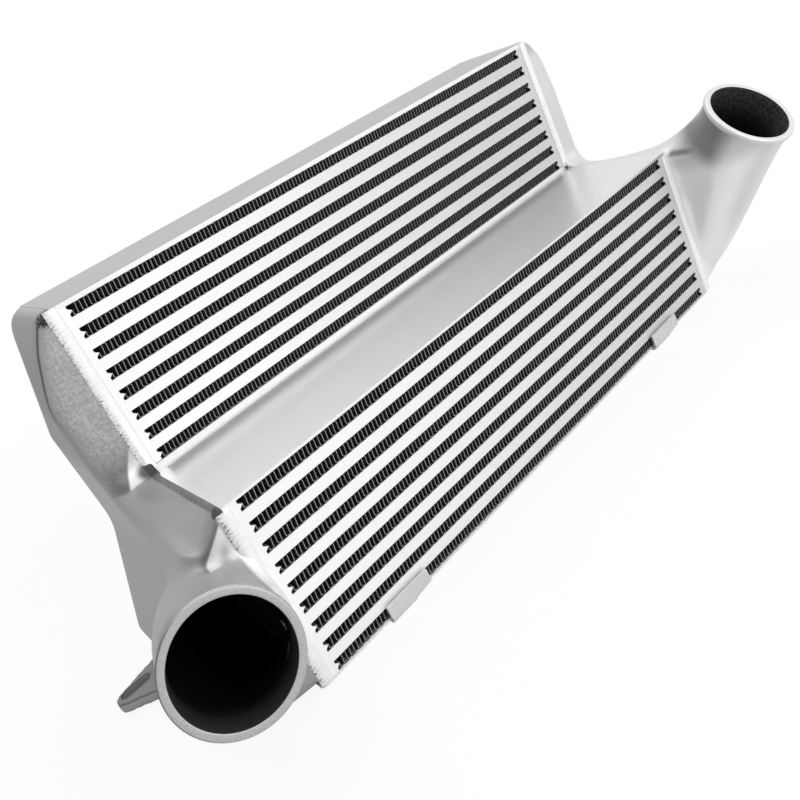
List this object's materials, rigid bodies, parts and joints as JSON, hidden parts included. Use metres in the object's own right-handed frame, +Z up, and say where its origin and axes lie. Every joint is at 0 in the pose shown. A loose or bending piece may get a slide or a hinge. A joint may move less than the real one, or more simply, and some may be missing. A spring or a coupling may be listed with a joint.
{
  "type": "intercooler",
  "caption": "Stepped bar-and-plate charge air cooler with cast end tanks, angled beaded hose necks, slotted mounting lugs and folded front clips.",
  "frame": {"origin": "midway between the slots of the two lugs, on the plane of the lugs' undersides, which is also the core's underside", "axes": "+X along the core towards the right end tank, +Y towards the flat rear face, +Z up, away from the bottom plate"},
  "size_m": [0.6672, 0.2837, 0.2689],
  "materials": {
    "cast_tank": "sand cast, tumbled, satin and finely mottled",
    "weld_bead": "rippled bright weld",
    "fin_strip": "thin folded sheet, dark between its folds",
    "inner_strip": "thin folded sheet, mill finish",
    "parting_sheet": "mill finish sheet",
    "cover_plate": "brushed sheet, half gloss",
    "clip_sheet": "folded sheet, satin",
    "closing_bar": "extruded bar, bright satin"
  },
  "bodies": {
    "root": {"bottom_plate": "cover_plate", "lower_fin_row_1": "fin_strip", "lower_fin_row_2": "fin_strip", "lower_fin_row_3": "fin_strip", "lower_fin_row_4": "fin_strip", "lower_fin_row_5": "fin_strip", "lower_fin_row_6": "fin_strip", "lower_fin_row_7": "fin_strip", "lower_fin_row_8": "fin_strip", "lower_fin_row_9": "fin_strip", "lower_turbulator_1": "inner_strip", "lower_turbulator_2": "inner_strip", "lower_turbulator_3": "inner_strip", "lower_turbulator_4": "inner_strip", "lower_turbulator_5": "inner_strip", "lower_turbulator_6": "inner_strip", "lower_turbulator_7": "inner_strip", "lower_turbulator_8": "inner_strip", "lower_left_end_bars": "closing_bar", "lower_right_end_bars": "closing_bar", "lower_front_bars": "closing_bar", "lower_rear_bars": "closing_bar", "lower_parting_sheets": "parting_sheet", "step_plate": "cover_plate", "upper_block_base": "cover_plate", "upper_fin_row_1": "fin_strip", "upper_fin_row_2": "fin_strip", "upper_fin_row_3": "fin_strip", "upper_fin_row_4": "fin_strip", "upper_fin_row_5": "fin_strip", "upper_fin_row_6": "fin_strip", "upper_fin_row_7": "fin_strip", "upper_fin_row_8": "fin_strip", "upper_turbulator_1": "inner_strip", "upper_turbulator_2": "inner_strip", "upper_turbulator_3": "inner_strip", "upper_turbulator_4": "inner_strip", "upper_turbulator_5": "inner_strip", "upper_turbulator_6": "inner_strip", "upper_turbulator_7": "inner_strip", "upper_left_end_bars": "closing_bar", "upper_right_end_bars": "closing_bar", "upper_front_bars": "closing_bar", "upper_rear_bars": "closing_bar", "upper_parting_sheets": "parting_sheet", "top_plate": "cover_plate", "left_end_tank": "cast_tank", "right_end_tank": "cast_tank", "left_weld_bead": "weld_bead", "right_weld_bead": "weld_bead", "left_clip": "clip_sheet", "right_clip": "clip_sheet"}
  },
  "joints": []
}
